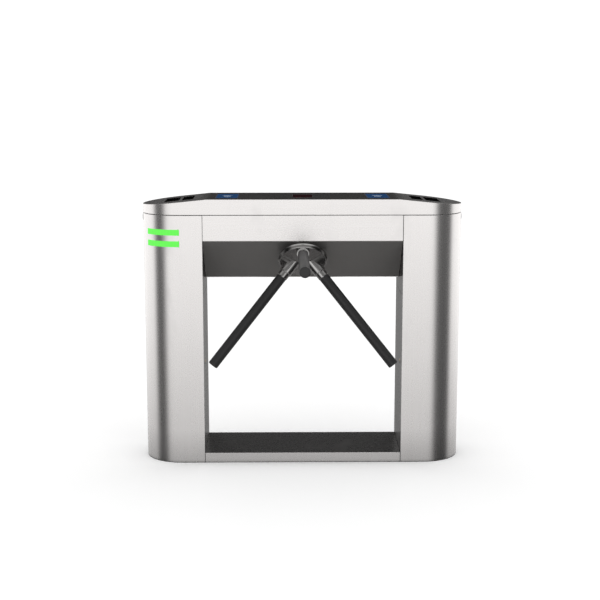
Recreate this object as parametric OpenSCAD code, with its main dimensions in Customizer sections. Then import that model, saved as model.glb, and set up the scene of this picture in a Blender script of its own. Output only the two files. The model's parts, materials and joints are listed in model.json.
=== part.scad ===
// Bridge-type tripod turnstile: two round-ended pillars joined by a floor rail and a header,
// a hinged top cover with readers and a counter display, and a three-armed hub on a shaft
// that leans 45 degrees. X runs along the length, -Y faces the lane, Z is up.
// The origin is at floor level, in the middle of the footprint.

/* [Cabinet] */
// Length over the two round ends
body_l = 1200; // [1160:10:1300]
// Width, which is also the diameter of the round ends
body_w = 280; // [280:2:300]
// Height of the flat middle of the top cover
body_h = 1000; // [990:5:1040]
// Thickness of the cabinet's sheet steel
sheet = 2; // [1.5:0.5:2]
// Half of the clear opening between the pillars
opening_half = 371; // [360:1:380]
// Height of the floor rail
rail_h = 38; // [34:1:60]

/* [Header and cover] */
// Height of the seam under the top cover
seam_z = 943; // [941:1:945]
// Height of the front panel's lower edge
fascia_z = 847; // [845:1:849]
// How far back the leaning panel runs before the flat underside starts
lean_depth = 160; // [156:1:164]
// Half length of the cover's flat middle
flat_half = 355; // [350:1:360]
// How far the cover's top falls at the ends
end_drop = 25; // [20:1:28]

/* [Tripod] */
// Distance from the point where the arms meet to an arm's end
arm_len = 545; // [480:5:560]
// Diameter of the black arm sleeve
arm_d = 38; // [36:1:40]
// Diameter of the hub's flange
flange_d = 185; // [179:1:188]
// Diameter of the three sockets
socket_d = 48; // [46:1:50]
// Length of a socket from the point where the arms meet
socket_len = 107; // [100:1:108]

/* [Hidden] */
$fn = 64;

// Small distances that recur
weld_gap = 0.2;      // between two sheets that are welded or screwed together
seam_gap = 2;        // the open seam under the cover
side_seam = 1.6;     // the open seams between the pillars and the rail and header
running = 0.05;      // radial clearance of a turning fit
tiny = 0.02;         // radial clearance of a fixed round fit
through = 50;        // extra length of a cut that passes right through

// Cabinet
end_c = body_l / 2 - body_w / 2;     // centre of a round end, along X
front_y = -body_w / 2;
rear_y = body_w / 2;
body_top = seam_z - seam_gap;
plate_t = 4;
shell_foot = 2;                      // the shells end this far above the floor
panel_x = opening_half - side_seam;  // half length of rail and header
under_z = fascia_z - lean_depth;     // the header's flat underside

// Tripod axis: local +Z of tilted() points up and back into the header
lean = 45;
apex_y = front_y + 60;
apex_z = fascia_z - 43;
panel_face = ((fascia_z - apex_z) - (apex_y - front_y)) * cos(lean);  // local z of its face

// Local z of what sits on the main shaft
hub_back = panel_face - 1.5;
flange_back = panel_face - 26;
flange_t = 13;
hub_front = flange_back - flange_t;
shaft_front = hub_front + 16;
plate_z = 2;
plate_th = 8;
housing_z = plate_z + plate_th;
housing_len = 62;
bearing_w = 15;
front_bearing_z = housing_z + 2;
rear_bearing_z = housing_z + housing_len - 2 - bearing_w;
cam_z = 76;
cam_t = 14;
wheel_z = 98;
wheel_t = 10;
encoder_z = 116;
damper_z = 126;
damper_len = 34;
cross_z = damper_z + damper_len + weld_gap;
shaft_end = cross_z + 15;

hub_body_r = 60;                     // the hub between its flange and the leaning panel
neck_r = 30;                         // the hub's neck, in its hole through panel and plate
neck_hole_r = 34;
clamp_at = 85;                       // clamp screws, from the point where the arms meet
clamp_r = 5;
socket_floor = 50;                   // depth that the arm tubes reach inside the hub
tube_r = arm_d / 2 - 2.5;
tube_wall = 2;
cap_len = 7;
collar_r = 20.5;                     // bright collar between a socket and the black sleeve
collar_len = 20;
sleeve_start = socket_len + collar_len + 1.2;
shaft_r = 12.5;
hub_bolt_r = 6;
hub_bolt_len = 36;
bearing_r = 26;
housing_r = 36;
housing_flange_r = 60;
housing_flange_t = 8;
bolt_circle_r = 49;
bolt_r = 4;
ball_r = 4;
ball_pitch = 19.25;
inner_land = 16.3;
outer_land = 22.2;

// Index cam, lever and lock wheel
cam_peak = 45;
cam_valley = 31;
roller_r = 11;
roller_y = cam_peak + roller_r + 0.5;
lever_pivot = [-68, 58];
lever_end = [66, 62];
lever_z = cam_z + cam_t + 0.5;
lever_t = 6;
wheel_r = 55;
notches = 12;
notch_w = 14;
notch_d = 9;
pawl_pivot = [66, 55];
pawl_t = 8;
pawl_z = wheel_z + 1;
tail_x = 97;
coil_half = 13;                      // half width of a solenoid's frame
plunger_z = pawl_z + pawl_t / 2;
rib_x = 126;
rib_t = 4;
cross_t = 6;

// Doors in the pillars' inner sides
door_z = [120, 640];
door_half = 90;
door_gap = 1.5;
door_pin = [opening_half + 5, 78];   // the right door's; the left door mirrors it
door_pin_r = 2.5;
door_lock_z = 380;
door_lock_y = -68;
lock_r = 9;
lock_head_r = 11;
lock_head_t = 1.5;

// Cover hinge and locks
hinge_y = rear_y + 5;
hinge_z = seam_z - 0.4;
hinge_r = 4.5;
hinge_pin_r = 2;
hinge_len = 60;
hinge_xs = [-340, 0, 340];
lid_lock_z = seam_z - 18;
lid_cam_x = body_l / 2 - 27;         // inner face of the cover lock's cam
slope = atan(end_drop / (body_l / 2 - flat_half));

// Insets in the cover, as [centre X, size along X, size along Y]
indicator = [429, 42, 130];
scanner = [488, 54, 130];
reader = [282, 84, 170];
counter = [0, 74, 105];

// Light bars on the left pillar
bar_h = 21.5;
bar_zs = [fascia_z - 22.3, fascia_z + 20.3];
bar_right = -(end_c - 4);
bar_angle = 56;

// Anchor holes and cable entries in the base plate
anchor_x = 470;
anchor_dx = 140;
anchor_dy = 160;
anchor_r = 7;
cable_r = 30;

// ---------------------------------------------------------------- helpers

module tilted() {
  translate([0, apex_y, apex_z]) rotate([-lean, 0, 0]) children();
}

// Places children on each arm's line: local +Z runs outwards along the arm
module each_arm() {
  tilted() for (k = [0:2]) rotate([0, 0, 120 * k - 90]) rotate([0, 180 - lean, 0]) children();
}

// Both mirror halves of something built on the +X side
module both_sides() {
  for (s = [0, 1]) mirror([s, 0, 0]) children();
}

module stadium(inset) {
  r = body_w / 2 - inset;
  for (s = [-1, 1]) translate([s * end_c, 0]) circle(r = r);
  square([2 * end_c, 2 * r], center = true);
}

module stadium_ring(from, to) {
  difference() {
    stadium(from);
    stadium(to);
  }
}

// The part of a 2-D outline that lies beyond x on the +X side
module beyond(x) {
  intersection() {
    children();
    translate([x, -body_w]) square([body_l, 2 * body_w]);
  }
}

module box(from, to) {
  translate(from) cube(to - from);
}

module tube(r_out, r_in, h) {
  difference() {
    cylinder(r = r_out, h = h);
    translate([0, 0, -1]) cylinder(r = r_in, h = h + 2);
  }
}

// A flat bar between p and q in the XY plane, from skip_p past p to skip_q short of q
module bar(p, q, w, t, skip_p = 0, skip_q = 0) {
  d = q - p;
  translate([p[0], p[1], 0]) rotate([0, 0, atan2(d[1], d[0])]) translate([skip_p, -w / 2, 0])
    cube([norm(d) - skip_p - skip_q, w, t]);
}

module disc(p, r, t) {
  translate([p[0], p[1], 0]) cylinder(r = r, h = t);
}

// A wire coil. Its flat section spans the angle over which the wire climbs by its own thickness
module coil(r_mean, r_wire, h, turns) {
  half = 360 * r_wire * turns / h;
  steps = [-1, -0.5, 0, 0.5, 1];
  function rim(s, side) = (r_mean + side * r_wire * sqrt(1 - s * s)) * [cos(s * half), sin(s * half)];
  linear_extrude(height = h, twist = -360 * turns, slices = 10 * turns, $fn = 8)
    polygon([for (s = steps) rim(s, 1), for (s = [0.5, 0, -0.5]) rim(s, -1)]);
}

// ---------------------------------------------------------------- cabinet

module pillar_outline() {
  linear_extrude(height = body_top - shell_foot) beyond(opening_half) stadium_ring(0, sheet);
}

module pillar_shell() {
  difference() {
    translate([0, 0, shell_foot]) pillar_outline();
    translate([body_l / 2, 0, lid_lock_z]) rotate([0, 90, 0])
      cylinder(r = lock_r + running, h = through, center = true);
  }
}

// The stretch of the left round end that the light bars cover
module bar_region(trim) {
  a = bar_angle - trim;
  reach = body_w;
  polygon([[-end_c, 0], [-end_c - reach * sin(a), -reach * cos(a)],
    [-end_c - 1.1 * reach, -reach], [bar_right - trim, -reach], [bar_right - trim, 0]]);
}

module base_plate() {
  upstand_h = 26;
  color("dimgray") {
    difference() {
      linear_extrude(height = plate_t) stadium(sheet + weld_gap);
      for (s = [-1, 1]) {
        for (i = [-1, 1], j = [-1, 1])
          translate([s * anchor_x + i * anchor_dx / 2, j * anchor_dy / 2, -1])
            cylinder(r = anchor_r, h = plate_t + 2);
        translate([s * anchor_x, 0, -1]) cylinder(r = cable_r, h = plate_t + 2);
      }
    }
    both_sides() translate([0, 0, plate_t - 0.5]) linear_extrude(height = upstand_h)
      beyond(opening_half + 8) stadium_ring(sheet + weld_gap, sheet + weld_gap + 3);
  }
}

module floor_rail() {
  color("silver") difference() {
    box([-panel_x, front_y, shell_foot], [panel_x, rear_y, rail_h]);
    box([-panel_x - 1, front_y + sheet, shell_foot - 1],
      [panel_x + 1, rear_y - sheet, rail_h - sheet]);
  }
}

module left_pillar_shell() {
  color("silver") difference() {
    mirror([1, 0, 0]) pillar_shell();
    for (z = bar_zs) translate([0, 0, z]) linear_extrude(height = bar_h) bar_region(0);
  }
}

module right_pillar_shell() {
  color("silver") pillar_shell();
}

// Closes a pillar towards the opening, below the header, with a doorway and the door's pins
module inner_panel() {
  y0 = front_y + sheet + weld_gap;
  y1 = rear_y - sheet - weld_gap;
  lip = sheet + weld_gap;
  shelf_out = 9;
  gap = 10;
  difference() {
    translate([opening_half, 0, 0]) rotate([90, 0, 90]) linear_extrude(height = sheet)
      polygon([[y0, plate_t + weld_gap], [y1, plate_t + weld_gap], [y1, under_z - lip],
        [front_y + lean_depth, under_z - lip], [y0, fascia_z - 2 * lip]]);
    box([opening_half - 1, -door_half - door_gap, door_z[0] - door_gap],
      [opening_half + sheet + 1, door_half + door_gap, door_z[1] + door_gap]);
  }
  for (z = [door_z[0] - gap - 4, door_z[1] + gap])
    box([opening_half + sheet - 0.2, door_pin[1] - 8, z],
      [door_pin[0] + shelf_out, door_pin[1] + 8, z + 4]);
  for (z = [door_z[0] - gap - 1, door_z[1] - 26])
    translate([door_pin[0], door_pin[1], z]) cylinder(r = door_pin_r, h = gap + 27);
}

module left_inner_panel() {
  color("silver") mirror([1, 0, 0]) inner_panel();
}

module right_inner_panel() {
  color("silver") inner_panel();
}

module header_front_panel() {
  flange = 12;
  color("silver") {
    box([-panel_x, front_y, fascia_z], [panel_x, front_y + sheet, body_top]);
    for (s = [-1, 1])
      box([s * panel_x - (s + 1) / 2 * sheet, front_y + sheet - 0.2, fascia_z + 12],
        [s * panel_x - (s - 1) / 2 * sheet, front_y + flange, body_top - 20]);
  }
}

module header_rear_panel() {
  color("silver") {
    box([-panel_x, rear_y - sheet, under_z], [panel_x, rear_y, body_top]);
    box([-panel_x, front_y + lean_depth, under_z], [panel_x, rear_y - sheet + 0.2, under_z + sheet]);
  }
}

// The leaning panel under the header, with the opening for the hub's neck
module hub_panel() {
  lip = sheet + weld_gap;
  color("dimgray") intersection() {
    difference() {
      tilted() box([-panel_x, -body_w, panel_face], [panel_x, body_w, panel_face + sheet]);
      tilted() cylinder(r = neck_hole_r, h = through, center = true);
    }
    box([-body_l, front_y + lip, under_z + lip], [body_l, rear_y, body_h]);
  }
}

module top_frame() {
  width = 15;
  color("gray") translate([0, 0, body_top - sheet]) linear_extrude(height = sheet)
    stadium_ring(sheet + weld_gap, sheet + weld_gap + width);
}

module lid_gasket() {
  inset = 5;
  width = 6;
  color("black") translate([0, 0, body_top]) linear_extrude(height = seam_gap + 1)
    stadium_ring(inset, inset + width);
}

// ---------------------------------------------------------------- light bars, boards and wiring

module status_light_bars() {
  proud = 0.3;
  trim = 0.15;
  color("lime") for (z = bar_zs) translate([0, 0, z + trim])
    linear_extrude(height = bar_h - 2 * trim) intersection() {
      stadium_ring(-proud, sheet + 3);
      bar_region(trim);
    }
}

module status_light_board() {
  color("darkgreen") translate([0, 0, bar_zs[0] - 6])
    linear_extrude(height = bar_zs[1] + bar_h + 12 - bar_zs[0]) intersection() {
      stadium_ring(sheet + 6, sheet + 7.6);
      bar_region(2);
    }
}

module control_board() {
  x0 = -330;
  z0 = 745;
  w = 150;
  h = 120;
  board_y = rear_y - sheet - 12;
  color("darkgreen") {
    box([x0, board_y, z0], [x0 + w, board_y + 1.6, z0 + h]);
    for (x = [x0 + 6, x0 + w - 6], z = [z0 + 6, z0 + h - 6])
      translate([x, board_y + 1, z]) rotate([-90, 0, 0]) cylinder(r = 3, h = 11 - weld_gap);
    // processor, relays along the top, terminal blocks along the bottom
    box([x0 + 60, board_y - 3, z0 + 50], [x0 + 84, board_y + 0.5, z0 + 74]);
    for (i = [0:3]) translate([x0 + 14 + 24 * i, board_y - 16, z0 + 88]) cube([20, 16.5, 20]);
    for (i = [0:5]) translate([x0 + 10 + 22 * i, board_y - 12, z0 + 4]) cube([19, 12.5, 12]);
    for (i = [0:1]) translate([x0 + 118 + 16 * i, board_y + 0.5, z0 + 60]) rotate([90, 0, 0])
      cylinder(r = 6, h = 20);
  }
}

module power_supply() {
  x0 = 180;
  z0 = 735;
  w = 150;
  h = 98;
  d = 38;
  y0 = rear_y - sheet - weld_gap - d;
  color("lightgray") {
    difference() {
      box([x0, y0, z0], [x0 + w, y0 + d, z0 + h]);
      box([x0 + w - 14, y0 - 1, z0 + 8], [x0 + w + 1, y0 + 20, z0 + h - 8]);
      for (i = [0:9], j = [0:4]) translate([x0 + 14 + 12 * i, y0 - 1, z0 + 20 + 14 * j])
        rotate([-90, 0, 0]) cylinder(r = 3.5, h = 2.5);
    }
    for (i = [0:6]) box([x0 + w - 12, y0 + 8, z0 + 12 + 11 * i], [x0 + w - 2, y0 + 20.5, z0 + 20 + 11 * i]);
  }
}

module cable(points, r) {
  for (i = [0:len(points) - 2]) {
    d = points[i + 1] - points[i];
    translate(points[i]) {
      sphere(r = r + 0.4);
      rotate([0, acos(d[2] / norm(d)), atan2(d[1], d[0])]) cylinder(r = r, h = norm(d));
    }
  }
  translate(points[len(points) - 1]) sphere(r = r + 0.4);
}

module wiring_harness() {
  drop_x = -430;
  color("#202020") {
    cable([[-300, 104, 742], [-300, 104, 718], [drop_x, 104, 718], [drop_x, 60, 640],
      [drop_x, 60, 60], [-470, 0, 40]], 7);
    cable([[drop_x, 104, 718], [-470, 40, 800], [-520, -70, 850]], 4);
    cable([[-300, 104, 718], [-190, 70, 747], [150, 70, 747], [170, 90, 722],
      [225, 110, 724]], 5);
  }
}

// ---------------------------------------------------------------- cover

module lid_block(drop, inset) {
  intersection() {
    linear_extrude(height = body_h + 1) stadium(inset);
    rotate([90, 0, 0]) linear_extrude(height = 2 * body_w, center = true)
      polygon([[-body_l / 2, seam_z - through], [body_l / 2, seam_z - through],
        [body_l / 2, body_h - end_drop - drop], [flat_half, body_h - drop],
        [-flat_half, body_h - drop], [-body_l / 2, body_h - end_drop - drop]]);
  }
}

// Puts children on the cover's top face at distance x, lying along the slope past flat_half
module on_cover(x) {
  z = body_h - max(0, x - flat_half) * tan(slope);
  translate([x, 0, z]) rotate([0, x > flat_half ? slope : 0, 0]) children();
}

module inset_cut(i) {
  on_cover(i[0]) cube([i[1], i[2], through], center = true);
}

// An inset plate: its face fills the opening and a lip holds it from below
module inset_plate(i) {
  gap = 0.3;
  lip = 5;
  on_cover(i[0]) {
    translate([0, 0, -sheet / 2 - 0.35]) cube([i[1] - 2 * gap, i[2] - 2 * gap, sheet + 1.3], center = true);
    translate([0, 0, -sheet - 0.9]) cube([i[1] + lip, i[2] + 2 * lip, 1.6], center = true);
  }
}

module lid() {
  foot_z = lid_lock_z - 17;
  hook_top = body_h - (lid_cam_x - flat_half) * tan(slope) - 1;
  color("silver") {
    difference() {
      intersection() {
        lid_block(0, 0);
        box([-body_l, -body_w, seam_z], [body_l, body_w, body_h + 1]);
      }
      lid_block(sheet, sheet);
      both_sides() {
        inset_cut(indicator);
        inset_cut(scanner);
        inset_cut(reader);
      }
      inset_cut(counter);
    }
    // hooks that the cover locks' cams turn over
    both_sides() {
      box([lid_cam_x - 8, 24, foot_z], [lid_cam_x - 2, 27, hook_top]);
      box([lid_cam_x - 8, 24, foot_z], [lid_cam_x + 6, 27, foot_z + 9]);
    }
  }
}

module indicator_windows() {
  color("#080808") both_sides() inset_plate(indicator);
}

module scanner_windows() {
  color("#080808") both_sides() inset_plate(scanner);
}

module reader_pads() {
  color("#243e61") both_sides() inset_plate(reader);
}

module counter_window() {
  color("#2a1a1d") inset_plate(counter);
}

// Card reader boxes under the pads, scanner and indicator boards under the end windows
module reader_modules() {
  under = -sheet - 2;
  color("dimgray") both_sides() {
    on_cover(reader[0]) translate([0, 0, under - 9]) cube([70, 110, 16], center = true);
    on_cover(indicator[0]) translate([0, 0, under - 3]) cube([32, 90, 4], center = true);
    on_cover(scanner[0]) translate([0, 0, under - 13]) cube([44, 62, 24], center = true);
  }
}

// Board with four seven-segment digit blocks under the counter window
module counter_board() {
  digits = 4;
  pitch = 16;
  color("#5a1010") {
    translate([0, 0, body_h - sheet - 12]) cube([78, 96, 1.6], center = true);
    for (i = [0:digits - 1]) translate([(i - (digits - 1) / 2) * pitch, 0, body_h - sheet - 8])
      cube([14, 22, 8], center = true);
  }
}

module hinge_barrel(from, to) {
  translate([from, hinge_y, hinge_z]) rotate([0, 90, 0]) cylinder(r = hinge_r, h = to - from);
}

module hinge_bore(r) {
  translate([0, hinge_y, hinge_z]) rotate([0, 90, 0])
    cylinder(r = r, h = 2 * body_l, center = true);
}

// Fixed halves of the cover hinges: two outer knuckles and a plate on the rear panel
module lid_hinge_leaves() {
  third = hinge_len / 3;
  color("silver") difference() {
    for (x = hinge_xs) {
      translate([x - hinge_len / 2, rear_y + 0.1, hinge_z - 42]) cube([hinge_len, 2, 36.8]);
      for (s = [-1, 1]) {
        near = x + s * (third / 2 + 0.3);
        far = x + s * hinge_len / 2;
        hinge_barrel(min(near, far), max(near, far));
        box([min(near, far), rear_y + 0.1, hinge_z - 6], [max(near, far), rear_y + 2.6, hinge_z]);
      }
    }
    hinge_bore(hinge_pin_r + tiny);
  }
}

// Moving halves: one middle knuckle and a plate on the cover's rear side
module lid_hinge_straps() {
  third = hinge_len / 3;
  color("silver") difference() {
    for (x = hinge_xs) {
      translate([x - hinge_len / 2, rear_y + 0.1, hinge_z + 5.2]) cube([hinge_len, 2, 34.8]);
      hinge_barrel(x - third / 2, x + third / 2);
      box([x - third / 2, rear_y + 0.1, hinge_z], [x + third / 2, rear_y + 2.6, hinge_z + 6]);
    }
    hinge_bore(hinge_pin_r + running);
  }
}

module lid_hinge_pins() {
  color("gray") for (x = hinge_xs) translate([x - hinge_len / 2 - 1, hinge_y, hinge_z])
    rotate([0, 90, 0]) cylinder(r = hinge_pin_r, h = hinge_len + 2);
}

// Lock plug with head, key slot and cam. Built along -Z from its head, cam along +X
module lock_plug(neck, cam_len) {
  cam_t = 3;
  difference() {
    union() {
      cylinder(r = lock_head_r, h = lock_head_t);
      translate([0, 0, -neck]) cylinder(r = lock_r, h = neck + 1);
      translate([-7, -6, -neck - cam_t]) cube([cam_len + 7, 12, cam_t + 0.5]);
    }
    translate([0, 0, lock_head_t]) cube([8, 1.6, 6], center = true);
  }
}

module lid_lock() {
  head_x = body_l / 2 + 0.1;
  neck = head_x - lid_cam_x - 3;
  color("silver") translate([head_x, 0, lid_lock_z]) rotate([0, 90, 0]) rotate([0, 0, 180])
    lock_plug(neck, 32);
}

module left_lid_lock() {
  mirror([1, 0, 0]) lid_lock();
}

module right_lid_lock() {
  lid_lock();
}

// ---------------------------------------------------------------- pillar doors

module door() {
  knuckle_r = 4.5;
  fold = 8;
  difference() {
    union() {
      box([opening_half, -door_half, door_z[0]], [opening_half + sheet, door_half, door_z[1]]);
      for (z = [door_z[0], door_z[1] - sheet])
        box([opening_half + sheet - 0.2, -door_half + 30, z], [opening_half + fold, 60, z + sheet]);
      for (z = [door_z[0] + 2, door_z[1] - 24]) translate([door_pin[0], door_pin[1], z])
        cylinder(r = knuckle_r, h = 22);
    }
    translate([door_pin[0], door_pin[1], 0]) cylinder(r = door_pin_r + running, h = body_h);
    translate([opening_half, door_lock_y, door_lock_z]) rotate([0, 90, 0])
      cylinder(r = lock_r + running, h = through, center = true);
  }
}

module left_door() {
  color("silver") mirror([1, 0, 0]) door();
}

module right_door() {
  color("silver") door();
}

module door_lock() {
  color("silver") translate([opening_half - 0.1, door_lock_y, door_lock_z]) rotate([0, -90, 0])
    lock_plug(4.5, 30);
}

module left_door_lock() {
  mirror([1, 0, 0]) door_lock();
}

module right_door_lock() {
  door_lock();
}

// ---------------------------------------------------------------- tripod

// A socket around an arm, with a rounded outer end
module socket() {
  r = socket_d / 2;
  round = 3;
  rotate_extrude() difference() {
    union() {
      square([r - round, socket_len]);
      square([r, socket_len - round]);
      translate([r - round, socket_len - round]) circle(r = round);
    }
    translate([-r, 0]) square([r, 2 * socket_len]);
  }
}

// A stepped flange, a round body behind it and three sockets
module hub() {
  r = flange_d / 2;
  edge = 0.8;
  step_r = r - 7;
  step_h = 7;
  color("silver") difference() {
    union() {
      tilted() {
        translate([0, 0, hub_front]) rotate_extrude() polygon([[0, 0], [step_r - edge, 0],
          [step_r, edge], [step_r, step_h], [r - edge, step_h], [r, step_h + edge],
          [r, flange_t - edge], [r - edge, flange_t], [0, flange_t]]);
        translate([0, 0, flange_back - 1]) rotate_extrude() polygon([[0, 0], [hub_body_r, 0],
          [hub_body_r, hub_back - flange_back], [hub_body_r - 1, hub_back - flange_back + 1],
          [0, hub_back - flange_back + 1]]);
        translate([0, 0, hub_back - 1]) cylinder(r = neck_r, h = 9);
      }
      intersection() {
        each_arm() socket();
        tilted() translate([0, 0, hub_front + 2 - body_w]) cylinder(r = body_w, h = body_w);
      }
    }
    each_arm() {
      translate([0, 0, socket_floor]) cylinder(r = tube_r + tiny, h = socket_len);
      translate([0, 0, clamp_at]) rotate([0, 90, 0]) cylinder(r = clamp_r, h = through);
    }
    tilted() {
      translate([0, 0, shaft_front - 0.2]) cylinder(r = shaft_r + tiny, h = through);
      translate([0, 0, hub_front - 1]) cylinder(r = 11, h = 12);
      translate([0, 0, hub_front - 1]) cylinder(r = hub_bolt_r + tiny, h = through);
    }
  }
}

module hub_bolt() {
  color("dimgray") tilted() difference() {
    union() {
      translate([0, 0, hub_front + 2]) cylinder(r = 9, h = 9 - tiny);
      translate([0, 0, hub_front + 10]) cylinder(r = hub_bolt_r, h = hub_bolt_len);
    }
    translate([0, 0, hub_front + 1]) cylinder(r = 5, h = 6, $fn = 6);
  }
}

module main_shaft() {
  color("gray") tilted() difference() {
    union() {
      translate([0, 0, shaft_front]) cylinder(r = shaft_r, h = shaft_end - shaft_front);
      translate([0, 0, -3]) cylinder(r = 16, h = front_bearing_z + 3 - tiny);
    }
    translate([0, 0, shaft_front - 1]) cylinder(r = hub_bolt_r + tiny, h = hub_bolt_len - 3);
  }
}

module arm_tubes() {
  foot = socket_floor + 0.5;
  color("silver") each_arm() difference() {
    translate([0, 0, foot]) cylinder(r = tube_r, h = arm_len - cap_len - weld_gap - foot);
    translate([0, 0, foot - 1]) cylinder(r = tube_r - tube_wall, h = arm_len);
  }
}

module arm_collars() {
  edge = 1;
  color("silver") each_arm() translate([0, 0, socket_len + 0.5]) difference() {
    rotate_extrude() polygon([[0, 0], [collar_r, 0], [collar_r, collar_len - edge],
      [collar_r - edge, collar_len], [0, collar_len]]);
    translate([0, 0, -1]) cylinder(r = tube_r + tiny, h = collar_len + 2);
  }
}

module arm_sleeves() {
  color("#222222") each_arm() translate([0, 0, sleeve_start])
    tube(arm_d / 2, tube_r + tiny, arm_len - cap_len - sleeve_start);
}

module arm_end_caps() {
  r = arm_d / 2;
  round = 5;
  plug_r = tube_r - tube_wall - tiny;
  color("#1a1a1a") each_arm() translate([0, 0, arm_len - cap_len]) {
    intersection() {
      cylinder(r = r, h = cap_len);
      translate([0, 0, -r]) rotate_extrude() difference() {
        union() {
          square([r - round, r + cap_len]);
          square([r, r + cap_len - round]);
          translate([r - round, r + cap_len - round]) circle(r = round);
        }
        translate([-r, 0]) square([r, 3 * r]);
      }
    }
    translate([0, 0, -18]) cylinder(r = plug_r, h = 18.5);
  }
}

module arm_clamp_screws() {
  head = socket_d / 2 - 1;
  foot = tube_r + weld_gap;
  color("#111111") each_arm() translate([0, 0, clamp_at]) rotate([0, 90, 0]) difference() {
    translate([0, 0, foot]) cylinder(r = clamp_r - tiny, h = head - foot);
    translate([0, 0, head - 3]) cylinder(r = 2.5, h = 4, $fn = 6);
  }
}

// ---------------------------------------------------------------- mechanism

module at_housing_bolts() {
  for (k = [0:3]) rotate([0, 0, 45 + 90 * k]) translate([bolt_circle_r, 0, 0]) children();
}

// Front plate with the bearing housing's seat, two ribs, and a rear cross plate
module mechanism_frame() {
  top_z = body_top - sheet - 2;
  inside = sheet + weld_gap;
  color("slategray") difference() {
    union() {
      both_sides() intersection() {
        box([rib_x, front_y + inside, under_z + inside], [rib_x + rib_t, rear_y - inside, top_z]);
        tilted() box([0, -body_l, panel_face + inside], [body_l, body_l, body_l]);
      }
      tilted() {
        box([-rib_x - 1, -60, plate_z], [rib_x + 1, 140, plate_z + plate_th]);
        box([-rib_x - 1, -10, cross_z], [rib_x + 1, 68, cross_z + cross_t]);
        both_sides() box([tail_x + coil_half + weld_gap, -20, pawl_z], [rib_x + 1, 14, pawl_z + pawl_t]);
      }
    }
    tilted() {
      translate([0, 0, plate_z - 1]) cylinder(r = neck_hole_r, h = plate_th + 2);
      translate([0, 0, cross_z - 1]) cylinder(r = shaft_r + 3, h = cross_t + 2);
      at_housing_bolts() translate([0, 0, plate_z - 1]) cylinder(r = bolt_r + tiny, h = plate_th + 2);
    }
    translate([0, 70, under_z + 60]) rotate([0, 90, 0]) cylinder(r = 28, h = body_l, center = true);
  }
}

module bearing_housing() {
  color("gray") tilted() translate([0, 0, housing_z]) difference() {
    union() {
      cylinder(r = housing_flange_r, h = housing_flange_t);
      cylinder(r = housing_r, h = housing_len);
    }
    translate([0, 0, -1]) cylinder(r = 21, h = housing_len + 2);
    translate([0, 0, -1]) cylinder(r = bearing_r, h = 3 + bearing_w);
    translate([0, 0, housing_len - 2 - bearing_w]) cylinder(r = bearing_r, h = 3 + bearing_w);
    at_housing_bolts() translate([0, 0, -1]) cylinder(r = bolt_r + tiny, h = housing_flange_t + 2);
  }
}

module housing_bolts() {
  color("dimgray") tilted() at_housing_bolts() translate([0, 0, plate_z]) {
    cylinder(r = bolt_r, h = plate_th + housing_flange_t + 1);
    translate([0, 0, plate_th + housing_flange_t + tiny]) cylinder(r = 7, h = 6, $fn = 6);
  }
}

module on_bearings() {
  tilted() for (z = [front_bearing_z, rear_bearing_z]) translate([0, 0, z]) children();
}

module ball_track() {
  translate([0, 0, bearing_w / 2]) rotate_extrude() translate([ball_pitch, 0])
    circle(r = ball_r + 0.15);
}

module bearing_outer_rings() {
  color("silver") on_bearings() difference() {
    tube(bearing_r - tiny, outer_land, bearing_w - tiny);
    ball_track();
  }
}

module bearing_inner_rings() {
  color("silver") on_bearings() difference() {
    tube(inner_land, shaft_r + tiny, bearing_w - tiny);
    ball_track();
  }
}

module bearing_balls() {
  balls = 9;
  color("white") on_bearings() for (k = [0:balls - 1]) rotate([0, 0, 360 * k / balls])
    translate([ball_pitch, 0, bearing_w / 2]) sphere(r = ball_r);
}

// Three lobes; the valleys face the arms' rest positions
module index_cam() {
  mid = (cam_peak + cam_valley) / 2;
  swing = (cam_peak - cam_valley) / 2;
  step = 5;
  color("gray") tilted() difference() {
    union() {
      translate([0, 0, cam_z]) linear_extrude(height = cam_t)
        polygon([for (a = [0:step:360 - step])
          let (r = mid - swing * cos(3 * (a - 90))) [r * cos(a), r * sin(a)]]);
      translate([0, 0, housing_z + housing_len]) cylinder(r = 18, h = cam_z - housing_z - housing_len + 1);
    }
    translate([0, 0, housing_z]) cylinder(r = shaft_r + tiny, h = body_w);
  }
}

module lock_wheel() {
  color("darkgray") tilted() difference() {
    union() {
      translate([0, 0, wheel_z]) cylinder(r = wheel_r, h = wheel_t);
      translate([0, 0, cam_z + cam_t + tiny]) cylinder(r = 20, h = wheel_z - cam_z - cam_t);
    }
    for (k = [0:notches - 1]) rotate([0, 0, 360 * k / notches])
      translate([wheel_r - notch_d, -notch_w / 2, wheel_z - 1]) cube([through, notch_w, wheel_t + 2]);
    translate([0, 0, cam_z]) cylinder(r = shaft_r + tiny, h = body_w);
  }
}

module encoder_disc() {
  disc_r = 45;
  disc_t = 2.5;
  slots = 12;
  color("#303030") tilted() difference() {
    union() {
      translate([0, 0, encoder_z]) cylinder(r = disc_r, h = disc_t);
      translate([0, 0, wheel_z + wheel_t + tiny]) cylinder(r = 18, h = encoder_z - wheel_z - wheel_t);
    }
    for (k = [0:slots - 1]) rotate([0, 0, 360 * k / slots])
      translate([disc_r - 9, -3, encoder_z - 1]) cube([6, 6, disc_t + 2]);
    translate([0, 0, cam_z]) cylinder(r = shaft_r + tiny, h = body_w);
  }
}

module damper() {
  color("#3a3a3a") tilted() translate([0, 0, damper_z]) difference() {
    union() {
      cylinder(r = 34, h = damper_len);
      translate([0, 0, damper_len - 6]) cylinder(r = 40, h = 6);
    }
    translate([0, 0, -1]) cylinder(r = shaft_r + 2 * running, h = damper_len + 2);
  }
}

module position_sensors() {
  color("#202020") tilted() both_sides() {
    box([38, -7, encoder_z - 6], [58, 7, encoder_z - 1]);
    box([38, -7, encoder_z + 3.5], [58, 7, encoder_z + 8.5]);
    box([50, -7, encoder_z - 2], [58, 7, cross_z - tiny]);
  }
}

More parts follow.
